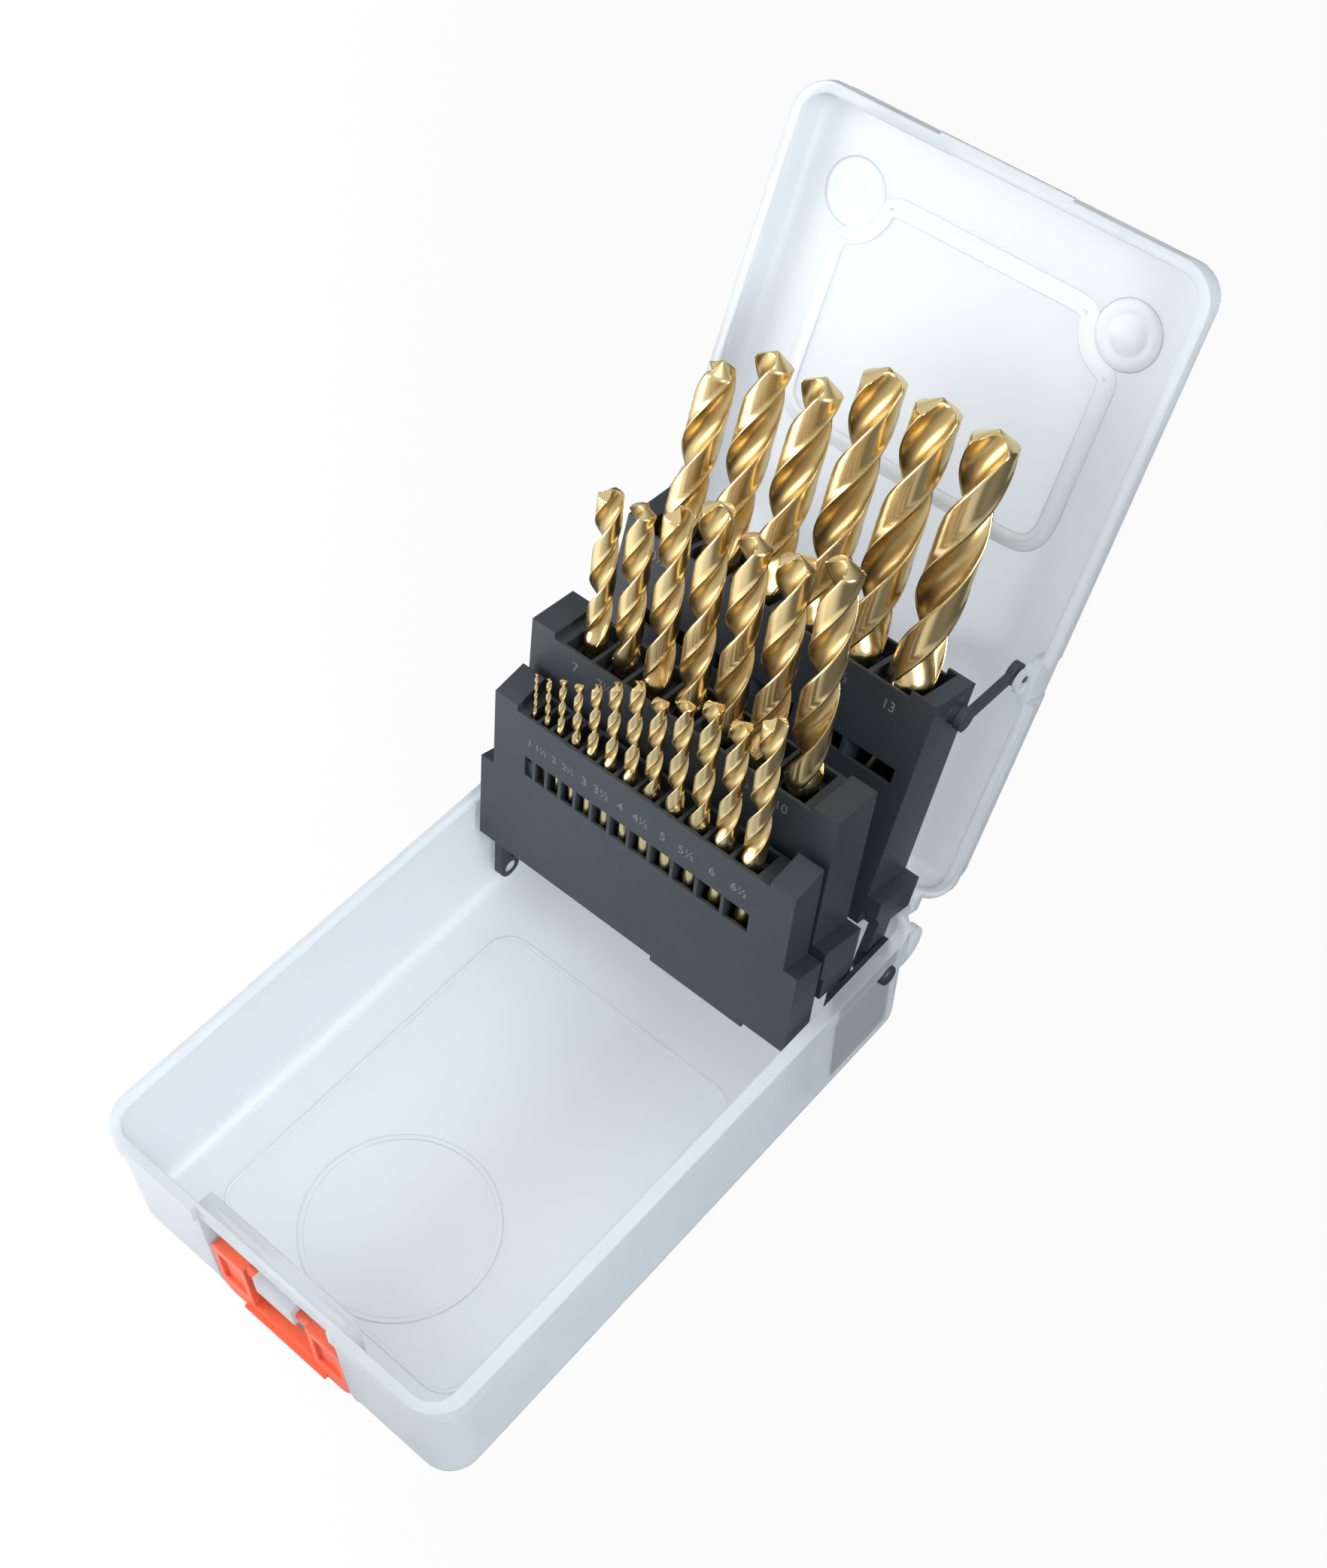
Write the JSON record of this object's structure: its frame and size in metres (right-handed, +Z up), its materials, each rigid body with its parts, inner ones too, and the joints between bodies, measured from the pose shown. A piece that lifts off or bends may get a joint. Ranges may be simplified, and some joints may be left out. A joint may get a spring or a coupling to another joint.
{
  "type": "drill bit case",
  "caption": "Hinged clear plastic drill bit case whose lid swings up three black racks of gold twist drills, with an orange swing latch.",
  "frame": {"origin": "centre of the tray's flat underside, under the middle of the closed case", "axes": "+Z up; +Y towards the lid hinge, so the latch faces -Y; +X along the hinge"},
  "size_m": [0.1284, 0.292, 0.2154],
  "materials": {
    "clear_case": "frosted, half clear",
    "black_plastic": "fine satin",
    "orange_plastic": "satin",
    "gold_steel": "thin gold-coloured coating on ground steel"
  },
  "bodies": {
    "case_base": {"tray": "clear_case", "bracket_left": "black_plastic", "bracket_right": "black_plastic", "pivot_pins": "black_plastic"},
    "lid": {"lid": "clear_case"},
    "front_rack": {"rack_front": "black_plastic", "bit_1mm": "gold_steel", "bit_1_5mm": "gold_steel", "bit_2mm": "gold_steel", "bit_2_5mm": "gold_steel", "bit_3mm": "gold_steel", "bit_3_5mm": "gold_steel", "bit_4mm": "gold_steel", "bit_4_5mm": "gold_steel", "bit_5mm": "gold_steel", "bit_5_5mm": "gold_steel", "bit_6mm": "gold_steel", "bit_6_5mm": "gold_steel"},
    "middle_rack": {"rack_middle": "black_plastic", "bit_7mm": "gold_steel", "bit_7_5mm": "gold_steel", "bit_8mm": "gold_steel", "bit_8_5mm": "gold_steel", "bit_9mm": "gold_steel", "bit_9_5mm": "gold_steel", "bit_10mm": "gold_steel"},
    "rear_rack": {"rack_rear": "black_plastic", "bit_10_5mm": "gold_steel", "bit_11mm": "gold_steel", "bit_11_5mm": "gold_steel", "bit_12mm": "gold_steel", "bit_12_5mm": "gold_steel", "bit_13mm": "gold_steel"},
    "left_link": {"link_left": "black_plastic"},
    "right_link": {"link_right": "black_plastic"},
    "latch": {"latch": "orange_plastic"}
  },
  "joints": [
    {"name": "lid_hinge", "type": "hinge", "parent": "case_base", "child": "lid", "pos_m": [0, 0.098, 0.042], "axis": [1, 0, 0], "range_deg": [0, 115.69]},
    {"name": "front_rack_pivot", "type": "hinge", "parent": "case_base", "child": "front_rack", "pos_m": [0, 0.0495, 0.0137], "axis": [1, 0, 0], "range_deg": [0, 96.9]},
    {"name": "middle_rack_pivot", "type": "hinge", "parent": "case_base", "child": "middle_rack", "pos_m": [0, 0.0674, 0.031], "axis": [1, 0, 0], "range_deg": [0, 98.7]},
    {"name": "rear_rack_pivot", "type": "hinge", "parent": "case_base", "child": "rear_rack", "pos_m": [0, 0.07932, 0.03827], "axis": [1, 0, 0], "range_deg": [0, 109.8]},
    {"name": "left_link_pivot", "type": "hinge", "parent": "rear_rack", "child": "left_link", "pos_m": [-0.0551, 0.11212, 0.11393], "axis": [-1, 0, 0], "range_deg": [0, 97.9]},
    {"name": "right_link_pivot", "type": "hinge", "parent": "rear_rack", "child": "right_link", "pos_m": [0.0551, 0.11212, 0.11393], "axis": [-1, 0, 0], "range_deg": [0, 97.9]},
    {"name": "latch_hinge", "type": "hinge", "parent": "case_base", "child": "latch", "pos_m": [0, -0.0924, 0.0255], "axis": [-1, 0, 0], "range_deg": [0, 163]}
  ],
  "couplings": [
    {"joint": "front_rack_pivot", "follows": "lid_hinge", "ratio": 0.83758},
    {"joint": "middle_rack_pivot", "follows": "lid_hinge", "ratio": 0.85314},
    {"joint": "rear_rack_pivot", "follows": "lid_hinge", "ratio": 0.94909},
    {"joint": "left_link_pivot", "follows": "lid_hinge", "ratio": 0.84623},
    {"joint": "right_link_pivot", "follows": "lid_hinge", "ratio": 0.84623}
  ]
}
